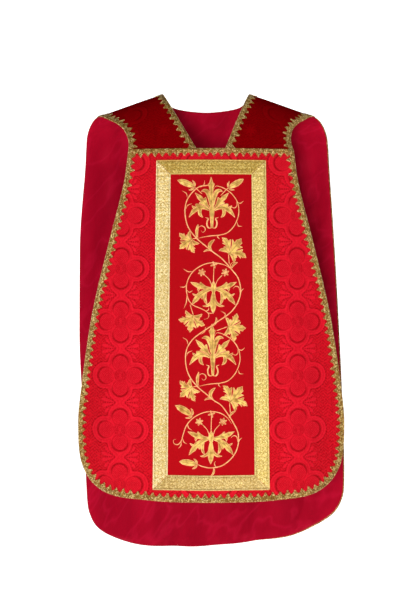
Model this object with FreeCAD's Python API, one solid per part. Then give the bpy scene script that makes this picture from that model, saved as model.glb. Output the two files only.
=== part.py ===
"""A Roman (fiddleback) chasuble as it hangs on its wearer, in millimetres.

The origin is the middle of the shoulder line at the height of the neck: +Z up, the front faces -Y, +X to the
viewer's right. Every panel is a stack of three thin sheets, outer cloth, interlining and lining, and the
trimmings lie on the outer cloth. The front panel hangs from the two shoulder pieces at the chest seam, and the
back panel from their shoulder seam.
"""

import FreeCAD
import Part
import math
import os

from FreeCAD import Vector

# Shoulder pieces
CHEST_DROP = 168.0  # the chest seam lies this far below the neck
CHEST_DEPTH = 118.0  # and this far in front of the shoulder line at the middle
NECK_FRONT_HALF = 33.0  # half of the neck opening at the chest seam
NECK_HALF = 112.0  # and at the shoulder line
SHOULDER_SLOPE = 0.36
RIDGE_ROUND = 20.0  # how softly the level neck turns into the sloping shoulder
CHEST_ROUND = 1.6  # power of the curve from the shoulder line down to the chest
SEAM_Y = 15.0  # the shoulder seam lies just behind the shoulder line

# Panels
FRONT_LEAN = 70.0  # the front hem hangs this far in front of the chest seam
FRONT_HEM = -1034.0
PLAN_CURVE = 4.6e-4  # how the front wraps round the body: y rises by this times x squared
BACK_DEPTH = 150.0  # shoulder blades behind the shoulder line
BACK_DROP = 140.0  # height over which the back turns from level to hanging
BACK_WRAP = 6.9e-4
BACK_LEAN = 12.0
BACK_HEM = -1234.0

# Sheets, as distances outwards from the outer face of the outer cloth
CLOTH = (-1.2, 0.0)
INTERLINING = (-2.6, -1.6)
LINING = (-3.8, -3.0)
BRAID = (0.4, 2.4)
GROUND = (0.4, 1.4)
GALLOON = (1.8, 3.0)
STITCHING = (1.8, 2.8)

GAP = 0.5  # half of the gap left at each seam
BRAID_WIDTH = 24.0
GALLOON_WIDTH = 36.0
CHEST_BRAID_TOP = -161.0
CHEST_BRAID_BOTTOM = -185.0
CHEST_BRAID_HALF = 180.0  # short of the armhole braids
RING_RADIUS = 68.0
VINE_WIDTH = 3.0
FLOWER_RADIUS = 50.0
LEAF_LENGTH = 44.0
LEAF_WIDTH = 26.0

# Right half of the armhole edge seen from above, from the chest seam to behind the shoulder seam
ARMHOLE_EDGE = [(209, -112), (206, -84), (216, -65), (235, -47), (256, -31), (282, -4), (296, 25)]

# Right halves of the outlines seen from the front, from the top down to the middle of the hem
FRONT_EDGE = [
    (209, -168), (221, -253), (256, -394), (298, -573), (326, -758), (334, -860),
    (321, -956), (267, -1012), (150, -1031), (0, FRONT_HEM),
]
BACK_EDGE = [
    (288, -40), (292, -60), (302, -74), (315, -94), (322, -122), (327, -200), (337, -460),
    (345, -800), (346, -1030), (337, -1112), (300, -1165), (222, -1208), (110, -1229), (0, BACK_HEM),
]
BACK_BRAID_START = [(266, -42), (269, -58), (283, -75), (294, -96), (300, -122)]  # then along BACK_EDGE
BACK_NECK = [(112, -4), (104, -15), (70, -26), (0, -32)]
BACK_NECK_BRAID = [(136, -6), (128, -25), (84, -40), (0, -47)]

# Orphrey frames: height of the outer top and bottom edges, and half widths there
FRONT_FRAME = {"top": -191.0, "bottom": -1005.0, "half_top": 137.0, "half_bottom": 142.5}
BACK_FRAME = {"top": -62.0, "bottom": -1190.0, "half_top": 137.0, "half_bottom": 146.0}
FRONT_RINGS = [-321.0, -516.0, -686.0, -882.0]
BACK_RINGS = [-205.0, -402.0, -600.0, -798.0, -996.0]

FAR = 600.0  # beyond the garment on every side
STEP = 0.01  # for slopes by difference


def ridge(x):
    """Height of the shoulder line: level at the neck, then sloping down."""
    past = abs(x) - NECK_HALF
    return -SHOULDER_SLOPE * (past + math.hypot(past, RIDGE_ROUND)) / 2


def chest_y(x):
    return -CHEST_DEPTH + PLAN_CURVE * x * x


def shoulder_point(x, y):
    """Over the shoulder, from the chest seam to just behind the shoulder line."""
    if y > 0:
        return back_point(x, math.degrees(math.asin(min(1.0, y / back_y(x)))))
    drop = (CHEST_DROP + ridge(x)) * (y / chest_y(x)) ** CHEST_ROUND
    return Vector(x, y, ridge(x) - drop)


def front_point(x, z):
    lean = FRONT_LEAN * (-CHEST_DROP - z) / (-CHEST_DROP - FRONT_HEM)
    return Vector(x, chest_y(x) - lean, z)


def back_y(x):
    return BACK_DEPTH - BACK_WRAP * x * x


def back_point(x, turn):
    """turn is the angle round the shoulder up to 90, and past it the millimetres hung below, plus 90."""
    angle = math.radians(min(turn, 90.0))
    hung = max(turn - 90.0, 0.0)
    lean = BACK_LEAN * hung / -BACK_HEM
    return Vector(
        x, back_y(x) * math.sin(angle) + lean, ridge(x) - BACK_DROP * (1 - math.cos(angle)) - hung
    )


def off_surface(point, u, v, distance):
    along_u = point(u + STEP, v) - point(u - STEP, v)
    along_v = point(u, v + STEP) - point(u, v - STEP)
    return point(u, v) + along_u.cross(along_v).normalize() * distance


def steps(low, high, count):
    return [low + (high - low) * i / count for i in range(count + 1)]


# each surface's function, the places across and down where it is worked out, and its patches across and down
SURFACES = {
    "shoulder": (shoulder_point, steps(-310, 310, 31), steps(-130, SEAM_Y + 10, 20), (2, 2)),
    "front": (front_point, steps(-345, 345, 14), steps(-130, FRONT_HEM - 20, 8), (4, 4)),
    "back": (back_point, steps(-365, 365, 30), steps(1, 90, 12) + steps(120, 1200, 14), (6, 6)),
}
BUILT_SHEETS = {}


def patches(surface, distance):
    """The surface at a distance, cut into a grid of patches, because small faces are measured more truly."""
    point, us, vs, (across, down) = SURFACES[surface]
    spline = Part.BSplineSurface()
    spline.interpolate([[off_surface(point, u, v, distance) for v in vs] for u in us])
    u_low, u_high, v_low, v_high = spline.bounds()
    u_cuts, v_cuts = steps(u_low, u_high, across), steps(v_low, v_high, down)
    grid = []
    for u_start, u_end in zip(u_cuts, u_cuts[1:]):
        column = []
        for v_start, v_end in zip(v_cuts, v_cuts[1:]):
            patch = spline.copy()
            patch.segment(u_start, u_end, v_start, v_end)
            column.append(patch)
        grid.append(column)
    return grid


def borders(grid):
    lines = [patch.uIso(patch.bounds()[0]) for patch in grid[0]]
    lines += [patch.uIso(patch.bounds()[1]) for patch in grid[-1]]
    lines += [column[0].vIso(column[0].bounds()[2]) for column in grid]
    lines += [column[-1].vIso(column[-1].bounds()[3]) for column in grid]
    return [line.toShape() for line in lines]


def sheet(surface, layer):
    """A closed thin solid that follows one of the SURFACES between the layer's two distances."""
    key = (surface, layer)
    if key not in BUILT_SHEETS:
        inner, outer = (patches(surface, distance) for distance in layer)
        faces = [patch.toShape() for grid in (inner, outer) for column in grid for patch in column]
        faces += [Part.makeRuledSurface(a, b) for a, b in zip(borders(inner), borders(outer))]
        shell = Part.makeShell(faces)
        shell.sewShape()
        BUILT_SHEETS[key] = Part.Solid(shell)
    return BUILT_SHEETS[key]


def curve(points):
    line = Part.BSplineCurve()
    line.interpolate([Vector(x, 0, z) for x, z in points])
    return line


def corner_line(points):
    return [Part.LineSegment(Vector(ax, 0, az), Vector(bx, 0, bz))
            for (ax, az), (bx, bz) in zip(points, points[1:])]


def prism(edges):
    """The endless bar along Y whose section is the closed outline."""
    face = Part.Face(Part.Wire(Part.sortEdges([e.toShape() for e in edges])[0]))
    face.translate(Vector(0, -FAR, 0))
    return face.extrude(Vector(0, 2 * FAR, 0))


def mirrored(points):
    return [(-x, z) for x, z in points]


def both_sides(points):
    """An outline from the top right, round the hem, to the top left."""
    return points + mirrored(points[-2::-1])


def inset(points, width):
    """The points of a curve, moved by width to the right of the way it runs."""
    line = curve(points)
    moved = []
    for x, z in points:
        place = Vector(x, 0, z)
        along = line.tangent(line.parameter(place))[0]
        moved.append((x + along.z * width, z - along.x * width))
    return moved


def polygon(points):
    return prism(corner_line(points + points[:1]))


def half_space(low_y, high_y):
    return Part.makeBox(2 * FAR, high_y - low_y, 4 * FAR, Vector(-FAR, low_y, -3 * FAR))


def beside(edge, far_x):
    """Everything on one side of a curve drawn from above, out to far_x."""
    first, last = edge[0], edge[-1]
    corners = [last, (last[0], FAR), (far_x, FAR), (far_x, -FAR), (first[0], -FAR), first]
    bar = prism([curve(edge)] + corner_line(corners))
    bar.rotate(Vector(0, 0, 0), Vector(1, 0, 0), -90)
    return bar


def neck_side():
    """Everything to the right of the neck edge, above the chest seam."""
    foot = -CHEST_DROP + GAP
    top = ridge(NECK_HALF)
    return polygon([(NECK_FRONT_HALF, foot), (NECK_HALF, top), (NECK_HALF, FAR), (FAR, FAR), (FAR, foot)])


def shoulder_outline():
    """One shoulder piece, the right one."""
    return neck_side().common(beside(ARMHOLE_EDGE, -FAR))


def armhole_braid_outline():
    return shoulder_outline().common(beside(inset(ARMHOLE_EDGE, -BRAID_WIDTH), FAR))


def neck_braid_outline():
    """Along the neck edge of the right shoulder piece, down to the top of the chest braid."""
    foot = CHEST_BRAID_TOP + GAP
    rise = ridge(NECK_HALF) + CHEST_DROP
    lean = (NECK_HALF - NECK_FRONT_HALF) / rise
    foot_x = NECK_FRONT_HALF + lean * (foot + CHEST_DROP)
    wide = BRAID_WIDTH * math.hypot(1, lean)
    top = ridge(NECK_HALF)
    return polygon([
        (foot_x, foot), (NECK_HALF, top), (NECK_HALF, FAR),
        (NECK_HALF + wide, FAR), (NECK_HALF + wide, top), (foot_x + wide, foot),
    ])


def front_outline():
    top = -CHEST_DROP - GAP
    edge = both_sides([(FRONT_EDGE[0][0], top)] + FRONT_EDGE[1:])
    return prism([curve(edge)] + corner_line([edge[-1], edge[0]]))


def back_outline():
    edge, neck = both_sides(BACK_EDGE), both_sides(BACK_NECK)
    top = [edge[0], (edge[0][0], FAR), (neck[0][0], FAR), neck[0]]
    return prism([curve(edge), curve(neck)] + corner_line(top) + corner_line(mirrored(top)))


def inside_edge(edge):
    """Everything inside the inner edge of a braid, and above it."""
    top = [edge[0], (edge[0][0], FAR), (edge[-1][0], FAR), edge[-1]]
    return prism([curve(edge)] + corner_line(top))


def front_braid_outline():
    inner = inset(both_sides(FRONT_EDGE), BRAID_WIDTH)
    return front_outline().cut(inside_edge(inner))


def back_braid_outline():
    along = inset(BACK_EDGE, BRAID_WIDTH)[len(BACK_BRAID_START):]
    return back_outline().cut(inside_edge(both_sides(BACK_BRAID_START + along)))


def back_neck_braid_outline():
    upper, lower = both_sides(BACK_NECK), both_sides(BACK_NECK_BRAID)
    ends = [upper[0], (upper[0][0], FAR), (lower[0][0], FAR), lower[0]]
    return prism([curve(upper), curve(lower)] + corner_line(ends) + corner_line(mirrored(ends)))


def frame_half(frame, z):
    """Half width of an orphrey frame's outer edge at height z."""
    share = (frame["top"] - z) / (frame["top"] - frame["bottom"])
    return frame["half_top"] + (frame["half_bottom"] - frame["half_top"]) * share


def frame_strips(frame):
    """The four mitred strips of a galloon frame, as outlines."""
    top, bottom = frame["top"], frame["bottom"]
    low, high = bottom + GALLOON_WIDTH, top - GALLOON_WIDTH
    wide_top, wide_bottom = frame_half(frame, top), frame_half(frame, bottom)
    in_top = frame_half(frame, high) - GALLOON_WIDTH
    in_bottom = frame_half(frame, low) - GALLOON_WIDTH
    slit = GAP / 2
    side = [(wide_top, top - slit), (wide_bottom, bottom + slit), (in_bottom, low + slit), (in_top, high - slit)]
    head = [(-wide_top + slit, top), (wide_top - slit, top), (in_top - slit, high), (-in_top + slit, high)]
    foot = [(-wide_bottom + slit, bottom), (wide_bottom - slit, bottom), (in_bottom - slit, low),
            (-in_bottom + slit, low)]
    return {"right": side, "left": mirrored(side), "top": head, "bottom": foot}


def ground_outline(frame):
    """The embroidered cloth, whose raw edges end under the middle of the galloon."""
    tuck = GALLOON_WIDTH / 2
    top, bottom = frame["top"] - tuck, frame["bottom"] + tuck
    half_top, half_bottom = frame_half(frame, top) - tuck, frame_half(frame, bottom) - tuck
    return polygon([(-half_top, top), (half_top, top), (half_bottom, bottom), (-half_bottom, bottom)])


def ring(z):
    bar = Part.makeCylinder(RING_RADIUS, 2 * FAR, Vector(0, -FAR, z), Vector(0, 1, 0))
    return bar.cut(
        Part.makeCylinder(RING_RADIUS - VINE_WIDTH, 2 * FAR, Vector(0, -FAR, z), Vector(0, 1, 0))
    )


def vine(rings):
    """The roundels, joined by slanting stems that cross from one side to the other."""
    bars = [ring(z) for z in rings]
    for i, (upper, lower) in enumerate(zip(rings, rings[1:])):
        side = 1 if i % 2 else -1
        start = (side * RING_RADIUS * 0.6, upper - RING_RADIUS * 0.79)
        end = (-side * RING_RADIUS * 0.6, lower + RING_RADIUS * 0.79)
        bars.append(polygon([start, (start[0], start[1] - VINE_WIDTH), (end[0], end[1] - VINE_WIDTH), end]))
    return bars[0].multiFuse(bars[1:]).removeSplitter()


def flower(z):
    """An eight-lobed rosette in the middle of a roundel."""
    lobes, radius = 8, FLOWER_RADIUS
    points = []
    for i in range(lobes * 2):
        angle = math.pi * i / lobes
        reach = radius if i % 2 == 0 else radius * 0.72
        points.append((reach * math.sin(angle), z + reach * math.cos(angle)))
    return polygon(points)


def leaf(x, z):
    return polygon([
        (x - LEAF_WIDTH / 2, z), (x, z + LEAF_LENGTH / 2), (x + LEAF_WIDTH / 2, z), (x, z - LEAF_LENGTH / 2),
    ])


def leaves(rings):
    return [
        leaf(side * RING_RADIUS * 1.12, (upper + lower) / 2)
        for upper, lower in zip(rings, rings[1:])
        for side in (-1, 1)
    ]


def cut_from(surface, layer, bars, where=None):
    """The layer of a surface inside each bar, as one compound of solids."""
    whole = sheet(surface, layer)
    if where is not None:
        whole = whole.common(where)
    solids = [s for bar in bars for s in whole.common(bar).Solids]
    return Part.makeCompound(solids)


def shoulder_nodes():
    front_of_seam = half_space(-FAR, SEAM_Y - GAP)
    outlines = {
        "cloth": (CLOTH, shoulder_outline()),
        "interlining": (INTERLINING, shoulder_outline()),
        "lining": (LINING, shoulder_outline()),
        "armhole_braid": (BRAID, armhole_braid_outline()),
        "neck_braid": (BRAID, neck_braid_outline()),
    }
    nodes = {}
    for name, (layer, bar) in outlines.items():
        right = cut_from("shoulder", layer, [bar], front_of_seam)
        nodes[f"shoulder_{name}_right"] = right
        nodes[f"shoulder_{name}_left"] = right.mirror(Vector(0, 0, 0), Vector(1, 0, 0))
    return nodes


def orphrey_nodes(surface, frame, rings):
    nodes = {
        f"{surface}_orphrey_ground": cut_from(surface, GROUND, [ground_outline(frame)]),
        f"{surface}_embroidery_vine": cut_from(surface, STITCHING, [vine(rings)]),
        f"{surface}_embroidery_flowers": cut_from(surface, STITCHING, [flower(z) for z in rings]),
        f"{surface}_embroidery_leaves": cut_from(surface, STITCHING, leaves(rings)),
    }
    for side, outline in frame_strips(frame).items():
        nodes[f"{surface}_galloon_{side}"] = cut_from(surface, GALLOON, [polygon(outline)])
    return nodes


def front_nodes():
    outline = front_outline()
    chest_bar = polygon([
        (-CHEST_BRAID_HALF, CHEST_BRAID_TOP), (CHEST_BRAID_HALF, CHEST_BRAID_TOP),
        (CHEST_BRAID_HALF, CHEST_BRAID_BOTTOM), (-CHEST_BRAID_HALF, CHEST_BRAID_BOTTOM),
    ])
    return {
        "front_cloth": cut_from("front", CLOTH, [outline]),
        "front_interlining": cut_from("front", INTERLINING, [outline]),
        "front_lining": cut_from("front", LINING, [outline]),
        "front_edge_braid": cut_from("front", BRAID, [front_braid_outline()]),
        "chest_braid": cut_from("front", BRAID, [chest_bar]),
        **orphrey_nodes("front", FRONT_FRAME, FRONT_RINGS),
    }


def back_nodes():
    behind_seam = half_space(SEAM_Y + GAP, FAR)
    outline = back_outline()
    return {
        "back_cloth": cut_from("back", CLOTH, [outline], behind_seam),
        "back_interlining": cut_from("back", INTERLINING, [outline], behind_seam),
        "back_lining": cut_from("back", LINING, [outline], behind_seam),
        "back_edge_braid": cut_from("back", BRAID, [back_braid_outline()], behind_seam),
        "back_neck_braid": cut_from("back", BRAID, [back_neck_braid_outline()], behind_seam),
        **orphrey_nodes("back", BACK_FRAME, BACK_RINGS),
    }


os.makedirs("parts", exist_ok=True)
for node, shape in {**shoulder_nodes(), **front_nodes(), **back_nodes()}.items():
    shape.exportStep(f"parts/{node}.step")
    print(node, len(shape.Solids), "solids", round(shape.Volume), "mm3", shape.isValid())
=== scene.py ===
"""The looks of a Roman chasuble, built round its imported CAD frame.

Lengths are in millimetres until a mesh is made. Each panel is a surface over flat cloth coordinates (u, v).
Everything sewn on it is drawn in those same coordinates, and lifted off the surface along its normal.
"""

import bmesh
import bpy
import math
import numpy as np
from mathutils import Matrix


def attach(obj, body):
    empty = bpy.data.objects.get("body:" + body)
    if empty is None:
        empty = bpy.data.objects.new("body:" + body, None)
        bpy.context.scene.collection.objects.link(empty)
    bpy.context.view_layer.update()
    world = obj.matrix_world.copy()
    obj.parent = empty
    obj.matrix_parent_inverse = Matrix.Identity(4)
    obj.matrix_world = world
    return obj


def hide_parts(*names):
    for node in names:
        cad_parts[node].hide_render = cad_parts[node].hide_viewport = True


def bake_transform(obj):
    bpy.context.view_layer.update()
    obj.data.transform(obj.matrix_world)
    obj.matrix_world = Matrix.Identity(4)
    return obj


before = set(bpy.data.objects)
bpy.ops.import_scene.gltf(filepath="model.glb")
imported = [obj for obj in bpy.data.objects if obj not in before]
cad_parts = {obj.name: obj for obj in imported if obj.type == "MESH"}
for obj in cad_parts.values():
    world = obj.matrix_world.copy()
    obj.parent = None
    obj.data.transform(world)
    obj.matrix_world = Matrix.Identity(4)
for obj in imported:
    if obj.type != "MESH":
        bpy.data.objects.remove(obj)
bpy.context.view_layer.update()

MM = 0.001
STEP = 0.5  # for slopes by difference

# The hanging shape, as in the CAD
NECK_HALF = 112.0
NECK_FRONT_HALF = 33.0
CHEST_HALF = 209.0
CHEST_DROP = 168.0
CHEST_DEPTH = 118.0
PLAN_CURVE = 4.6e-4
SHOULDER_SLOPE = 0.36
RIDGE_ROUND = 20.0
CHEST_ROUND = 1.6
SEAM_V = 15.0
FRONT_LEAN = 70.0
FRONT_HEM = -1034.0
BACK_DEPTH = 150.0
BACK_DROP = 140.0
BACK_WRAP = 6.9e-4
BACK_LEAN = 12.0
SEAM_HALF = 291.0
SHOULDER_RUN = 228.0  # cloth length of the turn from the shoulder line to where the back hangs
GAP = 0.3  # between sewn neighbours
ASKEW = 13.0  # how far the shoulders hang to the left of the front

# Heights off the cloth's outer face
CLOTH = (0.0, -1.2)
INTERLINING = (-1.6, -2.6)
LINING = (-3.0, -3.8)
GROUND = (1.4, 0.2)
GALLOON_BASE = 1.5
STITCH_BASE = 1.4
BRAID_BASE = 0.2

GALLOON_WIDTH = 36.0
MITRE_GAP = 0.45
BRAID_BAND = 10.5
BRAID_TOOTH = 12.5
TOOTH_PITCH = 18.5

# Right halves of the outlines, in cloth coordinates
FRONT_EDGE = [
    (CHEST_HALF, -CHEST_DROP), (221, -253), (256, -394), (298, -573), (326, -758), (334, -860),
    (321, -956), (267, -1012), (150, -1031), (0, FRONT_HEM),
]
BACK_EDGE = [
    (SEAM_HALF, SEAM_V), (302, 40), (315, 80), (322, 121), (327, 209), (337, 467), (345, 804),
    (346, 1034), (337, 1119), (300, 1185), (222, 1256), (110, 1311), (0, 1322),
]
BACK_NECK = [(NECK_HALF, SEAM_V), (110, 36), (104, 61), (92, 80), (70, 91), (36, 98), (0, 101)]
# The share of the way from the shoulder line to the chest, and the distance from the middle
ARMHOLE = [(1.0, CHEST_HALF), (0.85, 206), (0.67, 216), (0.51, 235), (0.35, 256), (0.05, 282), (0.0, 285)]

FRONT_FRAME = {"top": -191.0, "bottom": -1005.0, "half_top": 137.0, "half_bottom": 142.5}
BACK_FRAME = {"top": 120.0, "bottom": 1262.0, "half_top": 137.0, "half_bottom": 146.0}
# The middles of the embroidery's flowers
FRONT_RINGS = [(2, -321), (6, -516), (4, -686), (0, -882)]
BACK_RINGS = [(0, 262), (0, 457), (0, 652), (0, 847), (0, 1042)]


def ridge(x):
    past = np.abs(x) - NECK_HALF
    return -SHOULDER_SLOPE * (past + np.hypot(past, RIDGE_ROUND)) / 2


def chest_y(x):
    return -CHEST_DEPTH + PLAN_CURVE * x * x


def back_y(x):
    return BACK_DEPTH - BACK_WRAP * x * x


def points(x, y, z):
    return np.stack(np.broadcast_arrays(x, y, z), axis=-1).astype(float)


def wave(x, length, phase=0.0):
    return np.sin(2 * math.pi * (x / length + phase))


def ease(x):
    x = np.clip(x, 0, 1)
    return x * x * (3 - 2 * x)


def sway(z):
    """The back hangs a little askew of the front, to the left above and to the right below."""
    return -ASKEW + 2 * ASKEW * np.clip(-(z + 60) / 1050, 0, 1)


def between(a, b, share):
    """What lies a share of the way from a to b."""
    return a * (1 - share) + b * share


def run_along(line):
    """The length of a line of points up to each of them."""
    return np.concatenate([[0], np.cumsum(np.linalg.norm(np.diff(line, axis=0), axis=1))])


def shoulder_run_table():
    """Cloth length down the shoulder, from the shoulder line to the chest, against the share of the way."""
    x, share = 160.0, np.linspace(0, 1, 200)
    y = chest_y(x) * share
    z = ridge(x) - (CHEST_DROP + ridge(x)) * share**CHEST_ROUND
    return share, run_along(np.stack([y, z], -1))


SHARES, RUNS = shoulder_run_table()
CHEST_V = -float(RUNS[-1])


def shoulder_at(x, v):
    """v is 0 on the shoulder line, CHEST_V at the chest seam, and SEAM_V at the shoulder seam behind."""
    share = np.interp(-v, RUNS, SHARES)
    behind = np.clip(v, 0, None)
    y = chest_y(x) * share + behind
    drop = (CHEST_DROP + ridge(x)) * share**CHEST_ROUND
    dip = BACK_DROP * (1 - np.sqrt(1 - (behind / back_y(x)) ** 2))
    z = ridge(x) - drop - dip
    return points(x - ASKEW * (1 - share**2), y, z)


def front_at(x, z):
    down = np.clip((-CHEST_DROP - z) / (-CHEST_DROP - FRONT_HEM), 0, 1.05)
    beside = ease((np.abs(x) - 120) / 120)
    folds = 5.0 * wave(x, 210, 0.30) + 2.0 * wave(x + 0.10 * z, 118, 0.1)
    folds = folds * (0.25 + 0.75 * beside) * ease(down * 1.6)
    ripples = 0.8 * wave(x + 0.3 * z, 74) * wave(z, 260, 0.2) * ease(down * 4) * beside
    curl = 9.0 * ease((np.abs(x) - 235) / 110) * ease((down - 0.45) / 0.5)
    return points(x, chest_y(x) - FRONT_LEAN * down - folds - ripples + curl, z)


def back_at(x, v):
    """v is the cloth length from the shoulder line, over the shoulder and down the back."""
    angle = np.clip(v / SHOULDER_RUN, 0, 1) * math.pi / 2
    hung = np.clip(v - SHOULDER_RUN, 0, None)
    down = hung / 1100
    beside = ease((np.abs(x) - 120) / 120)
    folds = 7.0 * wave(x, 250, 0.15) + 3.0 * wave(x - 0.12 * v, 130, 0.4)
    folds = folds * (0.3 + 0.7 * beside) * ease(down * 1.5)
    z = ridge(x) - BACK_DROP * (1 - np.cos(angle)) - hung
    y = back_y(x) * np.sin(angle) + BACK_LEAN * down + folds
    bulge = 14.0 * ease(-x / 320) * ease((-z - 100) / 300) * (1 - ease((-z - 620) / 330))
    askew = (10.0 + 0.07 * x) * ease(down)
    return points(x + sway(z) - bulge, y, z + askew)


class Panel:
    """A surface with its blend across the joint it hangs from, if any."""

    def __init__(self, at, body, start=None, end=None, reach=(-2000.0, 2000.0)):
        self.at = at
        self.body = body
        self.start = start
        self.end = end
        self.reach = reach  # the lowest and highest v

    def lifted(self, flat, height):
        u, v = flat[..., 0], np.clip(flat[..., 1], *self.reach)
        along_u = self.at(u + STEP, v) - self.at(u - STEP, v)
        along_v = self.at(u, v + STEP) - self.at(u, v - STEP)
        normal = np.cross(along_u, along_v)
        normal /= np.linalg.norm(normal, axis=-1, keepdims=True)
        height = np.broadcast_to(height, u.shape)
        return self.at(u, v) + normal * height[..., None]

    def fix(self, piece):
        if self.start is None:
            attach(piece, self.body)
        else:
            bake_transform(piece)


SHOULDERS = Panel(shoulder_at, "shoulders", reach=(CHEST_V, SEAM_V))
FRONT = Panel(front_at, "front", (0, -0.118, -0.172), (0, -0.135, -0.36))
BACK = Panel(back_at, "back", (0, 0.016, -0.01), (0, 0.155, -0.20))


# ---- flat curves and grids


def smooth(corners, spacing):
    """A Catmull-Rom curve through the corners, as points evenly spaced along it."""
    corners = np.array(corners, float)
    padded = np.vstack([2 * corners[0] - corners[1], corners, 2 * corners[-1] - corners[-2]])
    steps = np.linspace(0, 1, 16, endpoint=False)[:, None]
    runs = []
    for a, b, c, d in zip(padded, padded[1:], padded[2:], padded[3:]):
        runs.append(0.5 * (2 * b + (c - a) * steps + (2 * a - 5 * b + 4 * c - d) * steps**2
                           + (3 * b - a - 3 * c + d) * steps**3))
    return resample(np.vstack(runs + [corners[-1:]]), spacing)


def resample(line, spacing=None, count=None):
    """The same line as points evenly spaced along it."""
    along = run_along(line)
    if count is None:
        count = max(2, int(round(along[-1] / spacing)) + 1)
    places = np.linspace(0, along[-1], count)
    return np.stack([np.interp(places, along, line[:, i]) for i in range(2)], axis=-1)


def both_sides(half):
    return half + [(-x, y) for x, y in half[-2::-1]]


def grid(x, row_y):
    """A flat grid from the x of each point and the y of each row."""
    return np.stack([x, np.broadcast_to(row_y[:, None], x.shape)], -1)


def coons(top, bottom, left, right):
    """The grid that four border curves span."""
    s = np.linspace(0, 1, len(top))[None, :, None]
    t = np.linspace(0, 1, len(left))[:, None, None]
    corners = between(between(top[0], top[-1], s), between(bottom[0], bottom[-1], s), t)
    return between(top[None], bottom[None], t) + between(left[:, None], right[:, None], s) - corners


def panel_grid(edge, top, rows):
    """A panel's grid from its outline (right side, hem, left side) and its top edge from left to right."""
    slope = np.abs(np.diff(edge, axis=0))
    turned = np.nonzero(slope[:, 0] > slope[:, 1])[0]
    corner = int(turned[turned > len(edge) // 8][0])
    right = resample(edge[: corner + 1], count=rows)
    bottom = resample(edge[corner: len(edge) - corner][::-1], count=len(top))
    left = resample(edge[len(edge) - corner - 1:][::-1], count=rows)
    return coons(top, bottom, left, right)


# ---- meshes


def add_object(name, data):
    thing = bpy.data.objects.new(name, data)
    bpy.context.scene.collection.objects.link(thing)
    return thing


class Mesh:
    """Gathers closed thin sheets on one panel into one mesh."""

    def __init__(self, panel):
        self.panel = panel
        self.vertices, self.faces, self.uvs, self.slots = [], [], [], []
        self.count = 0

    def add(self, flat, high, low, cloth, slot=0):
        """A sheet over a flat grid, between two heights off the panel. cloth is its UV, in mm."""
        rows, columns = flat.shape[:2]
        size = rows * columns
        index = np.arange(size).reshape(rows, columns) + self.count
        quads = np.stack([index[:-1, :-1], index[:-1, 1:], index[1:, 1:], index[1:, :-1]], -1).reshape(-1, 4)
        rim = np.concatenate([index[0, :], index[1:, -1], index[-1, -2::-1], index[-2:0:-1, 0]])
        after = np.roll(rim, -1)
        wall = np.stack([after, rim, rim + size, after + size], -1)
        self.faces += [quads, quads[:, ::-1] + size, wall]
        self.vertices += [self.panel.lifted(flat, height).reshape(-1, 3) for height in (high, low)]
        self.uvs += [cloth.reshape(-1, 2)] * 2
        self.slots += [slot] * (2 * len(quads) + len(wall))
        self.count += 2 * size

    def build(self, name, materials):
        mesh = bpy.data.meshes.new(name)
        faces = np.vstack(self.faces)
        mesh.from_pydata((np.vstack(self.vertices) * MM).tolist(), [], faces.tolist())
        uv = np.vstack(self.uvs) * MM
        layer = mesh.uv_layers.new(name="cloth")
        layer.data.foreach_set("uv", uv[faces.reshape(-1)].reshape(-1).astype(np.float32))
        for material in materials:
            mesh.materials.append(material)
        mesh.polygons.foreach_set("material_index", np.array(self.slots, np.int32))
        solid = bmesh.new()
        solid.from_mesh(mesh)
        bmesh.ops.recalc_face_normals(solid, faces=solid.faces)
        solid.to_mesh(mesh)
        solid.free()
        mesh.shade_smooth()
        mesh.set_sharp_from_angle(angle=math.radians(55))
        return add_object(name, mesh)

    def hang(self, name, materials, slot, node):
        """Makes the mesh a piece that hangs with its panel and stands for a CAD node."""
        piece = self.build(name, materials)
        self.panel.fix(piece)
        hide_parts(node)
        return piece


def ribbon_grid(line, widths):
    """Points across a line: widths is a grid of distances to its right, one row per point."""
    along = np.gradient(line, axis=0)
    along /= np.linalg.norm(along, axis=1, keepdims=True)
    side = np.stack([along[:, 1], -along[:, 0]], -1)
    return line[:, None] + side[:, None] * widths[..., None]


# ---- materials


class Value:
    """A number that nodes work out, for use in plain sums."""

    def __init__(self, nodes, socket):
        self.nodes = nodes
        self.socket = socket

    def __add__(self, other):
        return self.nodes.math("ADD", self, other)

    def __sub__(self, other):
        return self.nodes.math("SUBTRACT", self, other)

    def __rsub__(self, other):
        return self.nodes.math("SUBTRACT", other, self)

    def __mul__(self, other):
        return self.nodes.math("MULTIPLY", self, other)

    def __abs__(self):
        return self.nodes.math("ABSOLUTE", self)

    __radd__ = __add__
    __rmul__ = __mul__


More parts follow.
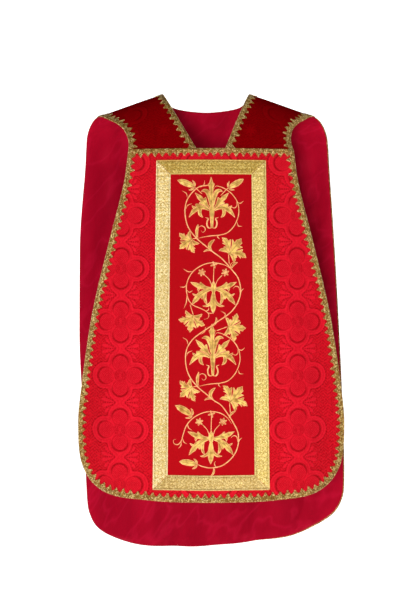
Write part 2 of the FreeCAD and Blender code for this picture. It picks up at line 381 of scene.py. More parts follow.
class Nodes:
    """Short names for the nodes of one material."""

    def __init__(self, name):
        self.material = bpy.data.materials.new(name)
        self.material.use_nodes = True
        self.tree = self.material.node_tree
        self.shader = self.tree.nodes["Principled BSDF"]

    def put(self, socket, value):
        if isinstance(value, Value):
            self.tree.links.new(value.socket, socket)
        elif socket.type == "RGBA":
            socket.default_value = (*value, 1.0)
        else:
            socket.default_value = value

    def node(self, kind, inputs, **settings):
        node = self.tree.nodes.new(kind)
        for key, value in settings.items():
            setattr(node, key, value)
        for key, value in inputs.items():
            self.put(node.inputs[key], value)
        return node

    def value(self, kind, inputs, output=0, **settings):
        return Value(self, self.node(kind, inputs, **settings).outputs[output])

    def parts(self, kind, whole):
        """The three parts of a vector or a colour."""
        return [Value(self, socket) for socket in self.node(kind, {0: whole}).outputs[:3]]

    def math(self, operation, *inputs):
        return self.value("ShaderNodeMath", dict(enumerate(inputs)), operation=operation)

    def chain(self, operation, first, *others):
        for other in others:
            first = self.math(operation, first, other)
        return first

    def low(self, *values):
        return self.chain("MINIMUM", *values)

    def high(self, *values):
        return self.chain("MAXIMUM", *values)

    def cosine(self, angle):
        return self.math("COSINE", angle)

    def angle(self, x, y):
        return self.math("ARCTAN2", y, x)

    def length(self, x, y):
        return self.math("SQRT", x * x + y * y)

    def fold(self, value, period):
        """The distance from value to the nearest whole number of periods."""
        return self.math("PINGPONG", value, period / 2)

    def circle(self, x, y, middle_x, middle_y, radius):
        """The distance outside a circle."""
        return self.length(x - middle_x, y - middle_y) - radius

    def ramp(self, value, start, end):
        """From 0 where value is start to 1 where it is end."""
        return self.value("ShaderNodeMapRange", {0: value, 1: start, 2: end})

    def inside(self, distance, blur=1.2):
        """1 where a distance is negative, 0 where it is positive, with a soft edge."""
        return self.value("ShaderNodeMapRange", {0: distance, 1: -blur, 2: blur, 3: 1.0, 4: 0.0},
                          interpolation_type="SMOOTHSTEP")

    def line(self, distance, width, blur):
        """1 along the line where a distance is 0, as far as width each side of it."""
        return self.inside(abs(distance) - width, blur)

    def mix(self, share, a, b):
        return self.value("ShaderNodeMix", {0: share, 6: a, 7: b}, 2, data_type="RGBA")

    def cloth_mm(self):
        """Cloth coordinates in millimetres."""
        place = self.value("ShaderNodeUVMap", {}, uv_map="cloth")
        u, v, _ = self.parts("ShaderNodeSeparateXYZ", place)
        return u * 1000.0, v * 1000.0

    def vector(self, x, y):
        return self.value("ShaderNodeCombineXYZ", {0: x, 1: y})

    def turned(self, place, degrees):
        return self.value("ShaderNodeMapping", {"Vector": place, "Rotation": (0, 0, math.radians(degrees))})

    def noise(self, place, scale, detail=2.0):
        return self.value("ShaderNodeTexNoise", {"Vector": place, "Scale": scale, "Detail": detail})

    def stripes(self, place, scale, step="X", distortion=0.0, detail=2.0):
        """Stripes that follow each other along X or Y."""
        inputs = {"Vector": place, "Scale": scale, "Distortion": distortion, "Detail": detail}
        return self.value("ShaderNodeTexWave", inputs, wave_type="BANDS", bands_direction=step)

    def bump(self, height, distance, strength=1.0, under=None):
        inputs = {"Height": height, "Distance": distance, "Strength": strength}
        if under is not None:
            inputs["Normal"] = under
        return self.value("ShaderNodeBump", inputs)

    def finish(self, **values):
        for key, value in values.items():
            self.put(self.shader.inputs[key.replace("_", " ")], value)
        return self.material


# The damask repeats in mirrored quarters, with a medallion at each corner. Its petals, disc and frame are
# circles: middle across, middle up, radius.
REPEAT_ACROSS = 220.0
REPEAT_UP = 133.0
PETALS = [(35.5, 0.0, 20.0), (0.0, 30.5, 19.5)]
DISC = (0.0, 0.0, 13.5)
FRAME = [(39.0, 0.0, 33.0), (0.0, 33.0, 31.0)]
NECK = 9.0  # half of the width at which a frame runs into the next one
SPRIGS = [(34.0, 0.0), (0.0, 29.0)]
PALMETTE_LENGTH = 36.0
FROND_PITCH = 7.7


def medallion(n, x, y):
    """The distance outside the petals and disc, and how dark the lines and sprigs on them are."""
    lobes = n.low(*(n.circle(x, y, *petal) for petal in PETALS))
    disc = n.circle(x, y, *DISC)
    # each petal has a shadow on the side away from the middle
    outward = n.ramp(n.low(36.0 - x, 31.0 - y), 7.0, -13.0)
    shadow = n.line(lobes - 1.6, 2.2, 3.0) * outward
    rims = n.inside(n.low(abs(lobes), abs(disc)) - 1.2, 1.8)
    # a sprig in each petal, and a small flower in the disc
    sprays = [abs(n.length(x, y) - (n.cosine(n.angle(x, y) * 6.0) * 3.5 + 7.5))]
    for middle_x, middle_y in SPRIGS:
        along, up = x - middle_x, y - middle_y
        row = n.fold(up - abs(along) * 1.1, 11.0) - 2.7
        sprays.append(abs(row) + n.length(along, up) * 0.05)
    within = n.low(lobes, disc)
    spray = n.inside(n.low(*sprays) - 1.9, 1.6) * n.inside(within + 2.5, 2.0)
    return within, shadow + rims * 0.55 + spray * 0.55


def foliage(n, x, y):
    """How dark the leaves between the frames are, and where a palmette spreads from each neck."""
    along, up = x - 8.0, y - REPEAT_UP / 2
    far = n.length(along, up)
    blades = n.cosine(n.angle(along, up) * 14.0)
    tips = PALMETTE_LENGTH - blades * 5.0
    in_palmette = n.inside(far - tips, 1.5)
    beads = n.cosine(far * 1.1) * 0.55 + 0.85
    blades = n.inside(far * 0.012 + 0.1 - blades, 0.5) * beads * 1.1
    # broken fronds fill the rest
    slant = y - n.fold(x - 64.0, 26.0) * 0.9
    uneven = (n.noise(n.vector(x, y), 0.20) - 0.5) * 8.0
    dashes = n.inside(0.35 - (n.cosine(slant * (2 * math.pi / FROND_PITCH)) + uneven), 0.5)
    leafage = in_palmette * blades + (1.0 - in_palmette) * dashes
    return n.high(leafage, n.line(far - tips, 1.0, 1.6)), in_palmette


def damask(name, ground, figure, line, glint, shine):
    """Rows of four-lobed medallions in a lattice of pointed frames, with foliage between, all in one hue."""
    n = Nodes(name)
    u, v = n.cloth_mm()
    x, y = n.fold(u + 5.0, REPEAT_ACROSS), n.fold(v + 63.0, REPEAT_UP)
    within, medallion_dark = medallion(n, x, y)
    # the lattice: frames drawn together by a neck, with a bright edge inside a broken dark line
    frame_line = n.math("SMOOTH_MIN", *(n.circle(x, y, *part) for part in FRAME), 9.0)
    frame_line = n.math("SMOOTH_MIN", frame_line, x - NECK, 20.0)
    broken = n.cosine(n.angle(x - 8.0, y - 8.0) * 46.0) * 0.35 + 0.75
    dark_line = n.line(frame_line - 1.0, 1.3, 1.6) * broken
    bright_line = n.line(frame_line + 2.4, 1.2, 1.4)
    inner_line = n.line(frame_line + 6.0, 0.8, 1.6)
    outer_line = n.line(frame_line - 9.5, 0.9, 1.6) * (1.3 - broken)
    # a rosette where four frames meet
    along, up = x - REPEAT_ACROSS / 2, y - REPEAT_UP / 2
    far = n.length(along, up)
    star = n.cosine(n.angle(along, up) * 8.0) * 5.0 + 14.0
    rosette = n.low(far - star, abs(far - (star + 13.0)) - 1.5)
    leaves, in_palmette = foliage(n, x, y)
    leaves = leaves * n.inside(0.0 - frame_line, 2.0) * n.inside(0.0 - rosette)
    leaves = leaves + n.line(rosette, 1.0, 1.2)
    lines = dark_line * 0.8 + (inner_line + outer_line) * 0.35 + leaves * 0.6
    dark = n.low(medallion_dark + lines, 1.0)
    band = n.inside(frame_line) * (1.0 - n.inside(within) * 0.1)
    bright = n.high(band * 0.75, bright_line, n.inside(rosette) * 0.7, in_palmette * 0.8)
    # the cloth itself is uneven, and the glints below are painted highlights
    place = n.vector(u, v)
    slub = n.noise(n.vector(u * 0.05, v * 0.9), 1.0, 3.0)
    speckle = n.noise(place, 0.35, 3.0)
    clouds = n.noise(place, 0.009, 1.0) + (n.noise(place, 0.06, 2.0) - 0.5) * 2.2
    glints = n.inside(0.54 - n.noise(place, 0.28, 1.0), 0.08)
    base = n.mix(bright, ground, figure)
    for share in (dark * 0.9, (slub + speckle) * 0.24, clouds * 0.2):
        base = n.mix(share, base, line)
    # painted glints: whitish specks of painted highlight on the damask
    base = n.mix(glints * 0.12, base, glint)
    twill = n.stripes(n.turned(place, 62), 0.42, distortion=0.6)
    normal = n.bump(bright * 0.4 - dark, 0.0009, 0.6, n.bump(twill, 0.00015, 0.35))
    rough = dark * 0.2 - bright * 0.10 + 0.50
    tint = (1.0, 0.10, 0.12)
    return n.finish(Base_Color=base, Roughness=rough, Normal=normal, Sheen_Weight=0.1 * shine,
                    Sheen_Roughness=0.4, Sheen_Tint=tint, Specular_IOR_Level=shine, Specular_Tint=tint)


def canvas():
    n = Nodes("canvas")
    place = n.vector(*n.cloth_mm())
    weave = n.stripes(place, 0.3, "X") * n.stripes(place, 0.3, "Y")
    shade = n.mix(n.noise(place, 0.2), (0.55, 0.48, 0.36), (0.72, 0.66, 0.54))
    return n.finish(Base_Color=shade, Roughness=0.9, Normal=n.bump(weave, 0.0003))


def satin():
    """Lining: a plain satin, with a soft shine, faint pressed creases with painted highlights on them,
    painted shade in soft folds, and painted shade darkening the back's hem.
    """
    n = Nodes("lining_satin")
    u, v = n.cloth_mm()
    streaks = n.noise(n.vector(u * 1.5, v * 0.03), 1.0, 3.0)
    folds = n.ramp(n.noise(n.vector(u + v * 0.25, v * 0.4), 0.014, 1.0), 0.3, 0.7)
    hem = n.ramp(v, 950.0, 1250.0)
    creases = n.noise(n.vector(u + v * 0.5, v * 0.6), 0.012, 2.0)
    crease_highlights = n.line(creases - 0.5, 0.012, 0.03)
    base = n.mix(streaks, (0.31, 0.002, 0.013), (0.38, 0.003, 0.022))
    # painted shade: darker in soft folds
    base = n.mix(folds * 0.5, base, (0.19, 0.001, 0.008))
    # painted shade: darker towards the back's hem, as if it hung in shade
    base = n.mix(hem * 0.35, base, (0.16, 0.001, 0.006))
    # painted highlights: lighter lines along the crease ridges
    base = n.mix(crease_highlights * 0.35, base, (0.46, 0.006, 0.035))
    weave = n.noise(n.vector(u * 2.0, v * 0.4), 1.0, 2.0)
    normal = n.bump(creases, 0.016, 0.8, n.bump(weave, 0.0002, 0.3))
    return n.finish(Base_Color=base, Roughness=0.42, Normal=normal, Sheen_Weight=0.02, Sheen_Roughness=0.35,
                    Sheen_Tint=(1.0, 0.1, 0.2), Specular_IOR_Level=0.04,
                    Specular_Tint=(1.0, 0.12, 0.22))


def silk():
    """Orphrey ground: a dense plain silk with a fine rib."""
    n = Nodes("orphrey_ground")
    u, v = n.cloth_mm()
    rib = n.stripes(n.vector(u, v), 0.32, "Y", distortion=0.3)
    threads = n.noise(n.vector(u * 0.05, v * 1.6), 1.0, 2.0)
    base = n.mix(threads, (0.27, 0.0008, 0.003), (0.38, 0.0015, 0.006))
    return n.finish(Base_Color=base, Roughness=0.72, Normal=n.bump(rib, 0.00025, 0.5), Sheen_Weight=0.05,
                    Sheen_Tint=(1.0, 0.1, 0.1), Specular_IOR_Level=0.2,
                    Specular_Tint=(1.0, 0.15, 0.15))


def glitter(n, place, scale, dark, mid, light):
    """Facets of metal thread: each cell has its own tilt and a tone at random between dark and mid, partly
    painted light on its facet.
    """
    cell = n.value("ShaderNodeTexVoronoi", {"Vector": place, "Scale": scale}, "Color")
    shade, shine, tilt = n.parts("ShaderNodeSeparateColor", cell)
    # painted glints: the cells that come up brightest take the light colour
    return n.mix(n.inside(0.72 - shine, 0.08), n.mix(shade, dark, mid), light), tilt


def galloon(name, dark, mid, light):
    """Gold ribbon: a glittering middle between plain borders. u runs across it and v along."""
    n = Nodes(name)
    u, v = n.cloth_mm()
    place = n.vector(u, v)
    base, tilt = glitter(n, place, 0.48, dark, mid, light)
    fine, _ = glitter(n, place, 0.95, dark, mid, light)
    checks = n.inside(n.fold(u, 9.0) - 2.2, 0.6) * n.inside(n.fold(v, 11.0) - 2.6, 0.6)
    from_edge = GALLOON_WIDTH / 2 - abs(u - GALLOON_WIDTH / 2)
    groove = n.line(from_edge - 3.6, 0.6, 0.4)
    base = n.mix(0.4, base, fine)
    base = n.mix(checks * 0.22, base, light)
    base = n.mix(n.inside(from_edge - 2.6, 0.5) * 0.4, base, light)
    # painted shade: the groove inside each border is darkened in colour, as well as sunk in the bump
    base = n.mix(groove * 0.35, base, dark)
    relief = tilt * 0.6 + checks * 0.5 - groove * 0.4
    normal = n.bump(relief, 0.0016, 0.9, n.bump(n.stripes(place, 0.35, "Y"), 0.0003, 0.5))
    return n.finish(Base_Color=base, Metallic=0.45, Roughness=0.34, Normal=normal)


def gold_braid():
    """Edge braid: plaited metal cords. u runs across it and v along."""
    n = Nodes("edge_braid")
    place = n.vector(*n.cloth_mm())
    base, tilt = glitter(n, place, 0.42, (0.13, 0.045, 0.003), (0.56, 0.31, 0.045),
                         (1.0, 0.80, 0.34))
    twist = n.stripes(n.turned(place, 40), 0.16)
    # painted shade: darker between the twisted strands of the plait, where they dip
    base = n.mix((1.0 - twist) * 0.5, base, (0.26, 0.11, 0.008))
    normal = n.bump(tilt * 0.5 + twist, 0.0014, 0.9)
    return n.finish(Base_Color=base, Metallic=0.4, Roughness=0.34, Normal=normal)


def thread(name, dark, light, rough, crease_shade):
    """Satin stitch: close threads across the shape, from a vein if it has one, with painted shade darkening
    the crease along that vein. u runs across it.
    """
    n = Nodes(name)
    u, v = n.cloth_mm()
    rows = n.stripes(n.vector(u * 0.2, v), 0.22, "Y", distortion=1.5, detail=1.0)
    patches = n.noise(n.value("ShaderNodeTexCoord", {}, "Object"), 90.0, 1.0)
    base = n.mix(rows * 0.45 + patches * 2.2 - 0.80, dark, light)
    # painted shade: a dark line in the crease where the stitches from both sides meet at the spine
    base = n.mix(n.line(u, 0.5, 0.7) * crease_shade, base, (0.24, 0.035, 0.004))
    return n.finish(Base_Color=base, Metallic=0.25, Roughness=rough, Normal=n.bump(rows, 0.0005, 0.8))


DAMASK = damask("damask", ground=(0.58, 0.005, 0.015), figure=(0.69, 0.008, 0.024),
                line=(0.21, 0.001, 0.003), glint=(0.75, 0.035, 0.05), shine=0.06)
# painted shade: the shoulders get a darker copy of the damask, without gloss, for the shade they lie in
# where they turn up away from the light
SHADED_YOKE_DAMASK = damask("damask_shoulders_painted_shade", ground=(0.245, 0.0003, 0.002), figure=(0.275, 0.0006, 0.003),
                     line=(0.13, 0.0002, 0.001), glint=(0.28, 0.001, 0.003), shine=0.0)
CANVAS = canvas()
SATIN = satin()
SILK = silk()
GALLOON_LIT_AND_SHADED = {  # painted light and shade: each strip of the frame gets its own lighter or darker golds, for how it lies across the light
    "left": galloon("galloon_left", (0.32, 0.17, 0.015), (0.73, 0.50, 0.12), (0.98, 0.86, 0.52)),
    "right": galloon("galloon_right", (0.27, 0.15, 0.010), (0.60, 0.42, 0.07), (0.94, 0.76, 0.32)),
    "top": galloon("galloon_top", (0.25, 0.12, 0.004), (0.60, 0.37, 0.045), (0.90, 0.70, 0.22)),
    "bottom": galloon("galloon_hem", (0.19, 0.095, 0.008), (0.43, 0.27, 0.05), (0.72, 0.56, 0.24)),
}
BRAID = gold_braid()
GOLD = thread("thread_gold", (0.34, 0.15, 0.010), (0.98, 0.68, 0.17), 0.42, 0.75)
PALE = thread("thread_pale", (0.80, 0.33, 0.12), (1.0, 0.60, 0.28), 0.45, 0.0)


# ---- cloth


CREASE_SEED = 7
TURNED_UP = 1.7  # the lining's border meets the outer cloth, and hides the interlining's edge


def tucked(flat):
    """The same grid with its border drawn in."""
    inner = flat.copy()
    for rows in (inner, inner.swapaxes(0, 1)):
        for edge, beside in ((0, 1), (-1, -2)):
            rows[edge] = between(rows[edge], rows[beside], 0.8)
    return inner


def flat_area(flat):
    """Area of a flat grid, in square metres."""
    a, b = flat[1:, 1:] - flat[:-1, :-1], flat[1:, :-1] - flat[:-1, 1:]
    return float(np.abs(a[..., 0] * b[..., 1] - a[..., 1] * b[..., 0]).sum() / 2) * MM * MM


def sheet(name, node, panel, flat, heights, material, slot):
    """A layer of cloth, cut to a flat grid's shape, with its two faces at their heights off the panel."""
    mesh = Mesh(panel)
    mesh.add(flat, *heights, flat)
    piece = mesh.hang(name, [material], slot, node)
    width, length = (np.ptp(flat, axis=(0, 1)) * MM).tolist()
    min(flat_area(flat), 0.999 * width * length)


def layers(prefix, suffix, panel, flat, dents, outer=DAMASK):
    """The three layers of a panel, which hangs from under. dents is how far the lining sags inwards."""
    sagging = [height - dents for height in LINING]
    for kind, cut, heights, material, slot in (
        ("cloth", flat, CLOTH, outer, "damask"),
        ("interlining", tucked(flat), INTERLINING, CANVAS, "canvas"),
        ("lining", flat, sagging, SATIN, "lining_satin"),
    ):
        node = f"{prefix}_{kind}{suffix}"
        sheet(f"{node}_sheet", node, panel, cut, heights, material, slot)


front_line = smooth(both_sides(FRONT_EDGE), spacing=2.0)
top_v = -CHEST_DROP - GAP
front_top = resample(np.array([(-CHEST_HALF, top_v), (CHEST_HALF, top_v)]), count=110)
front_flat = panel_grid(front_line, front_top, rows=150)
front_flat[..., 1] = np.minimum(front_flat[..., 1], top_v)

back_line = smooth(both_sides(BACK_EDGE), spacing=2.0)
back_neck = smooth(both_sides(BACK_NECK), spacing=2.0)
seam_left = np.array([(-SEAM_HALF, SEAM_V), (-NECK_HALF, SEAM_V)])
back_top = np.vstack([resample(seam_left, count=30)[:-1], resample(back_neck[::-1], count=61)[:-1],
                      resample(-seam_left[::-1] * [1, -1], count=30)])
back_flat = panel_grid(back_line, back_top, rows=190)
back_flat[..., 1] = np.maximum(back_flat[..., 1], SEAM_V + GAP)

share_rows = np.concatenate([[-1.0], np.linspace(0, 1, 44)])
# the shares are drawn 100 times larger, so that they count beside the distances
armhole = smooth([(share * 100, x) for share, x in ARMHOLE], spacing=0.5)[::-1]
arm_x = np.interp(share_rows, armhole[:, 0] / 100, armhole[:, 1])
arm_x[0] = SEAM_HALF
neck_x = between(NECK_HALF, NECK_FRONT_HALF, np.clip(share_rows, 0, 1) ** CHEST_ROUND)
shoulder_v = np.where(share_rows < 0, SEAM_V - GAP, -np.interp(share_rows, SHARES, RUNS))
across = np.linspace(0, 1, 46)[None]
shoulder_flat = grid(between(neck_x[:, None], arm_x[:, None], across), shoulder_v)
SIDES = {"left": -1, "right": 1}


def inner_share(flat, margin):
    """0 at the sides and hem of a panel, 1 well inside it, for its lining's sag."""
    row, column = np.indices(flat.shape[:2])
    from_end = np.minimum(row, row[::-1])
    from_side = np.minimum(column, column[:, ::-1])
    return ease(from_side / margin) * ease(from_end / margin)


def sag(flat, depth, creases=0):
    """Soft upright folds, and long creases at odd angles where the lining has been folded and worn."""
    u, v = flat[..., 0], flat[..., 1]
    folds = 0.5 + 0.5 * wave(u + 14 * wave(v, 540), 84, 0.2)
    depths = depth * (0.6 * folds**1.5 + 0.2)
    chance = np.random.default_rng(CREASE_SEED)
    low, high = flat.min(axis=(0, 1)), flat.max(axis=(0, 1))
    for _ in range(creases):
        middle = low + (high - low) * chance.random(2)
        slant = math.radians(90 + chance.normal() * 32)
        length, width = 60 + 120 * chance.random(), 9 + 12 * chance.random()
        across = (u - middle[0]) * math.sin(slant) - (v - middle[1]) * math.cos(slant)
        along = (u - middle[0]) * math.cos(slant) + (v - middle[1]) * math.sin(slant)
        deep = (2.5 + 4.5 * chance.random()) * (1 if chance.random() < 0.6 else -0.5)
        depths = depths + deep * np.exp(-((across / width) ** 2) - (along / length) ** 2)
    return inner_share(flat, 6) * np.maximum(depths, 0) - TURNED_UP * (1 - inner_share(flat, 1))


layers("front", "", FRONT, front_flat, sag(front_flat, depth=5.0, creases=30))
layers("back", "", BACK, back_flat, sag(back_flat, depth=9.0, creases=60))
for side, sign in SIDES.items():
    flat = shoulder_flat * [sign, 1]
    # they lie on the wearer
    layers("shoulder", f"_{side}", SHOULDERS, flat, sag(flat, depth=1.0), outer=SHADED_YOKE_DAMASK)


# ---- edge braid


BRAID_STEP = 1.55
CHEST_BRAID = [(-196.0, -161.0), (196.0, -161.0)]
# How far up a tooth its outline is, against the share of the way from the gap beside it to its tip
TOOTH_OUTLINE = ([0, 0.36, 0.50, 0.64, 0.74, 0.84, 1], [0, 0.05, 0.28, 0.42, 0.38, 0.72, 1])


def tooth(along):
    """How far each place is up the nearest tooth, 0 to 1: a spike between two low shoulders."""
    share = np.abs(2 * ((along / TOOTH_PITCH) % 1.0) - 1)
    uneven = 0.88 + 0.12 * wave(np.floor(along / TOOTH_PITCH + 0.5), 2.7)
    return np.interp(share, *TOOTH_OUTLINE) * uneven


def braid(name, panel, line, node, side=1, over=0.0):
    """A braid along a line: plain at the line, and toothed on its right, or on its left where side is -1.

    over is how far it turns over the cloth's edge on the right of the panel.
    """
    line = resample(np.array(line), spacing=BRAID_STEP)[::side]
    over = over * ease(line[:, :1] / 250)
    along = run_along(line)
    reach = BRAID_BAND + BRAID_TOOTH * tooth(along)
    share = np.linspace(0, 1, 15)[None]
    widths = share * (reach[:, None] + over) - over
    flat = ribbon_grid(line, widths)
    cord_width = BRAID_BAND / 3
    cords = np.abs(np.sin(math.pi * np.clip(widths, 0, BRAID_BAND) / cord_width))
    plait = np.sin(2 * math.pi * (along[:, None] / 4.6 + np.floor(widths / cord_width) * 0.5))
    rim = np.clip(np.minimum(share, 1 - share) * 8, 0, 1)
    height = BRAID_BASE + 0.5 + rim * (1.1 * cords + 0.35 * plait + 0.6)
    mesh = Mesh(panel)
    mesh.add(flat, height, BRAID_BASE, grid(widths, along))
    # a round cord follows the teeth
    cord(mesh, ribbon_grid(line, reach[:, None] - 1.0)[:, 0], 1.5, 0.6)
    mesh.hang(name, [BRAID], "edge_braid", node)


def cord(mesh, line, radius, base, slot=0, taper=0.0):
    """A half-round cord laid along a line. taper is the share of its length that narrows at each end."""
    turn = np.linspace(0, math.pi, 6)[None]
    narrow = np.ones((len(line), 1))
    if taper:
        share = np.linspace(0, 1, len(line))[:, None]
        narrow = np.clip(np.minimum(share, 1 - share) / taper, 0.12, 1) ** 0.7
    widths = -radius * np.cos(turn) * narrow
    height = base + radius * np.sin(turn) * narrow
    mesh.add(ribbon_grid(line, widths), height, base - 0.15, grid(widths, run_along(line)), slot)


braid("front_edge_trim", FRONT, front_line, "front_edge_braid")
braid("back_edge_trim", BACK, back_line, "back_edge_braid", side=-1, over=2.5)
braid("chest_trim", FRONT, CHEST_BRAID, "chest_braid")
braid("back_neck_trim", BACK, back_neck, "back_neck_braid")
for side, sign in SIDES.items():
    for name, x, turn in (("neck", neck_x, -sign), ("armhole", arm_x, sign)):
        line = np.stack([x * sign, shoulder_v], -1)
        braid(f"{name}_trim_{side}", SHOULDERS, line, f"shoulder_{name}_braid_{side}", side=turn)


# ---- orphreys


def frame_half(size, v):
    """Half of an orphrey's width at v."""
    share = (v - size["top"]) / (size["bottom"] - size["top"])
    return between(size["half_top"], size["half_bottom"], share)


def strip(mesh, outer, inner):
    """A mitred strip of galloon between two edges, each (start, end)."""
    outer, inner = np.array(outer, float), np.array(inner, float)
    length = float(np.linalg.norm(outer[1] - outer[0]))
    rows = int(length / 5) + 2
    share = np.linspace(MITRE_GAP / length, 1 - MITRE_GAP / length, rows)[:, None, None]
    over = np.linspace(0, 1, 13)[None, :, None]
    flat = between(between(*outer, share), between(*inner, share), over)
    width = over[..., 0] * GALLOON_WIDTH * np.ones((rows, 1))
    along = (flat - outer[0]) @ ((outer[1] - outer[0]) / length)
    from_edge = np.minimum(width, GALLOON_WIDTH - width)
    height = GALLOON_BASE + 0.9 + 0.5 * ease(from_edge / 3) - 0.35 * ease(1 - np.abs(from_edge - 4.5) / 2)
    mesh.add(flat, height, GALLOON_BASE, np.stack([width, along], -1))


def orphrey(prefix, panel, size, down):
    """Ground and galloon frame. down is the direction of v towards the hem."""
    top, bottom = size["top"], size["bottom"]

    def corners(inwards):
        """The corners of the frame at the top left, top right, bottom right and bottom left."""
        high, low = top + down * inwards, bottom - down * inwards
        half_high, half_low = frame_half(size, high) - inwards, frame_half(size, low) - inwards
        return (-half_high, high), (half_high, high), (half_low, low), (-half_low, low)

    outer, inner = corners(0.0), corners(GALLOON_WIDTH)
    for side, start, end in (("right", 1, 2), ("left", 0, 3), ("top", 0, 1), ("bottom", 3, 2)):
        mesh = Mesh(panel)
        strip(mesh, (outer[start], outer[end]), (inner[start], inner[end]))
        mesh.hang(f"{prefix}_galloon_ribbon_{side}", [GALLOON_LIT_AND_SHADED[side]], "galloon", f"{prefix}_galloon_{side}")
    tuck = GALLOON_WIDTH / 2
    v = np.linspace(top + down * tuck, bottom - down * tuck, 130)
    half = frame_half(size, v) - tuck
    flat = grid(half[:, None] * np.linspace(-1, 1, 40)[None], v)
    sheet(f"{prefix}_ground_sheet", f"{prefix}_orphrey_ground", panel, flat, GROUND, SILK, "orphrey_ground")


orphrey("front", FRONT, FRONT_FRAME, -1)
orphrey("back", BACK, BACK_FRAME, 1)


# ---- embroidery


STITCH_STEP = 2.2
PALE_SLOT = 1  # leaves are filled with gold thread, and stems and rims are pale

LEAF_PROFILES = {  # half width against length, both as shares
    "plain": [(0, 0.30), (0.2, 0.70), (0.5, 1.0), (0.8, 0.62), (1, 0)],
    "lobed": [(0, 0.22), (0.2, 0.42), (0.33, 0.85), (0.45, 1.65), (0.48, 1.45), (0.54, 0.60),
              (0.72, 0.78), (1, 0)],
    "jagged": [(0, 0.25), (0.13, 0.50), (0.24, 1.10), (0.28, 0.55), (0.40, 0.80), (0.52, 1.40),
               (0.57, 0.60), (0.70, 0.62), (0.78, 0.80), (0.82, 0.42), (1, 0)],
    "bud": [(0, 0.45), (0.12, 0.85), (0.4, 1.0), (0.75, 0.75), (1, 0)],
    "slim": [(0, 0.5), (0.3, 1.0), (0.7, 0.7), (1, 0)],
    "club": [(0, 0.35), (0.5, 0.75), (0.8, 1.0), (1, 0.4)],
    "crown": [(0, 0.6), (0.5, 0.6), (0.62, 0.75), (0.72, 1.25), (0.76, 0.75), (1, 0)],
}


class Needle:
    """Draws in millimetres round a centre, with up towards the neck, on one panel."""

    def __init__(self, panel, up):
        self.up = up  # 1 where v grows upwards, -1 where it grows downwards
        self.stems, self.flowers, self.leaves = Mesh(panel), Mesh(panel), Mesh(panel)

    def flat(self, line, centre):
        return np.array(line, float) * [1, self.up] + np.array(centre, float)

    def stem(self, corners, centre, radius=1.15, taper=0.12, mesh=None):
        line = smooth(self.flat(corners, centre), spacing=STITCH_STEP)
        cord(mesh or self.stems, line, radius, STITCH_BASE, PALE_SLOT, taper)

    def leaf(self, mesh, centre, base, by, tip, width, left="plain", right="plain"):
        """A leaf whose spine bends towards by. Its rows slant forwards, as its stitches do."""
        base, by, tip = (np.array(p, float) for p in (base, by, tip))
        t = np.linspace(0, 1, 30)[:, None]
        spine = (1 - t) ** 2 * base + 2 * t * (1 - t) * by + t**2 * tip
        along = 2 * (1 - t) * (by - base) + 2 * t * (tip - by)
        along /= np.linalg.norm(along, axis=1, keepdims=True)
        side = np.stack([-along[:, 1], along[:, 0]], -1)
        halves = []
        for profile in (left, right):
            places, widths = zip(*LEAF_PROFILES[profile])
            halves.append(np.maximum(np.interp(t, places, widths) * width / 2, 0.2))
        over = np.linspace(-1, 1, 9)[None]
        reach = over * np.where(over > 0, *halves)
        forward = 0.75 * np.abs(reach) * (1 - t**3)
        place = spine[:, None] + side[:, None] * reach[..., None] + along[:, None] * forward[..., None]
        flat = self.flat(place, centre)
        wide = np.maximum(*halves)
        dome = (1 - np.abs(over) ** 2.4) * np.minimum(wide, 4.5) * 0.32
        crease = 0.9 * np.exp(-((reach / 0.9) ** 2)) * np.clip(wide / 4, 0, 1)
        height = STITCH_BASE + 0.5 + dome - crease
        mesh.add(flat, height, STITCH_BASE - 0.15, grid(reach, run_along(spine)))
        rim = resample(np.vstack([flat[:, 0], flat[::-1, -1]]), spacing=STITCH_STEP)
        cord(mesh, rim, 0.7, STITCH_BASE + 0.35, PALE_SLOT)

    def spray(self, mesh, centre, shapes, way=1, turn=0.0, scale=1.0):
        """A set of leaves drawn about the centre, mirrored where way is -1, then turned and scaled."""
        across, up = math.cos(math.radians(turn)), math.sin(math.radians(turn))

        def moved(point):
            x, y = way * point[0] * scale, point[1] * scale
            return x * across - y * up, x * up + y * across

        for base, by, tip, width, *sides in shapes:
            sides = sides if way == 1 else sides[::-1]
            self.leaf(mesh, centre, moved(base), moved(by), moved(tip), width * scale, *sides)

    def star(self, centre, place, size, arms):
        for i in range(arms):
            angle = 2 * math.pi * i / arms + 0.3
            arm = size * np.array([math.cos(angle), math.sin(angle)])
            self.leaf(self.flowers, centre, place, place + arm / 2, place + arm, size * 0.34)

    def tuft(self, ring, foot, shapes, turn, scale):
        """Leaves that spread from a foot: the first one in the middle, and the others on both sides."""
        centre = self.flat([foot], ring)[0]
        self.spray(self.leaves, centre, shapes, 1, turn, scale)
        self.spray(self.leaves, centre, shapes[1:], -1, turn, scale)

    def vine_leaf(self, ring, foot, turn, size, stalk):
        self.stem([stalk, foot], ring, radius=1.0)
        self.tuft(ring, foot, VINE_LEAF, turn, size)

    def bud(self, ring, base, tip):
        across, up = tip[0] - base[0], tip[1] - base[1]
        self.tuft(ring, base, BUD, math.degrees(math.atan2(-across, up)), math.hypot(across, up))


